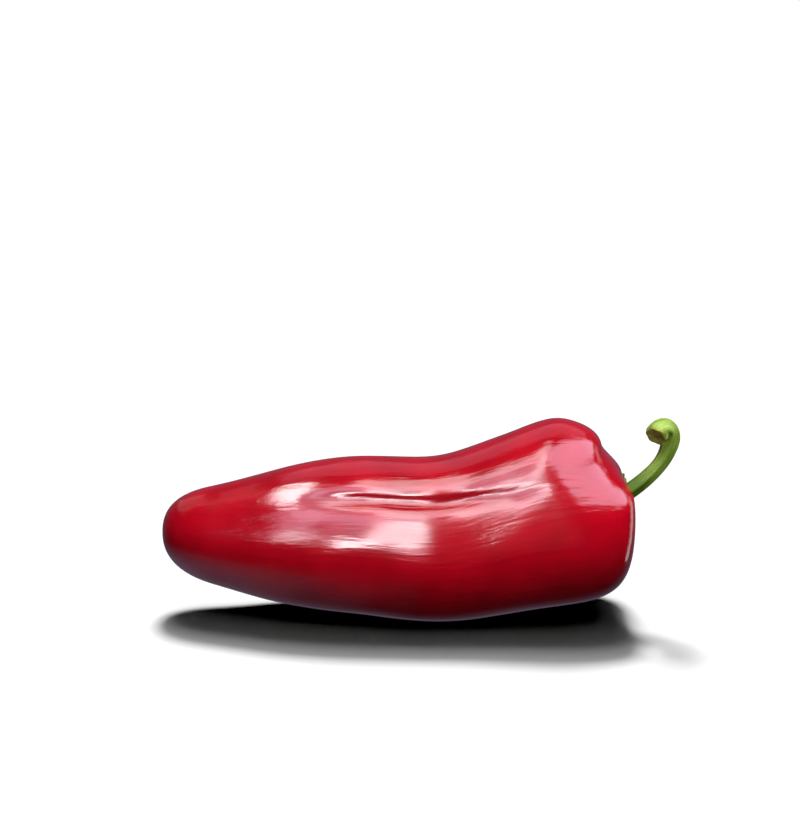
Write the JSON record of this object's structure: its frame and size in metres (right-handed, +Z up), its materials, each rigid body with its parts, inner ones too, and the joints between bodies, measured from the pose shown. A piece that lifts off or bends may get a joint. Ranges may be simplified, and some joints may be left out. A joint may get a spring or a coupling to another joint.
{
  "type": "kapia pepper",
  "caption": "Long tapering red sweet pepper lying on its side, with a furrowed three-lobed pod, a blunt tip and a green stem that curves up and hooks back at its cut end.",
  "frame": {"origin": "on the table under the middle of the whole object's box, stem included", "axes": "+X from the pod's tip to the stem, +Z up, -Y towards the side that faces the picture's camera"},
  "size_m": [0.1638, 0.0604, 0.0631],
  "materials": {
    "pod_skin": "waxy gloss",
    "green_stem": "satin"
  },
  "bodies": {
    "root": {"pod": "pod_skin", "stem_and_calyx": "green_stem"}
  },
  "joints": []
}
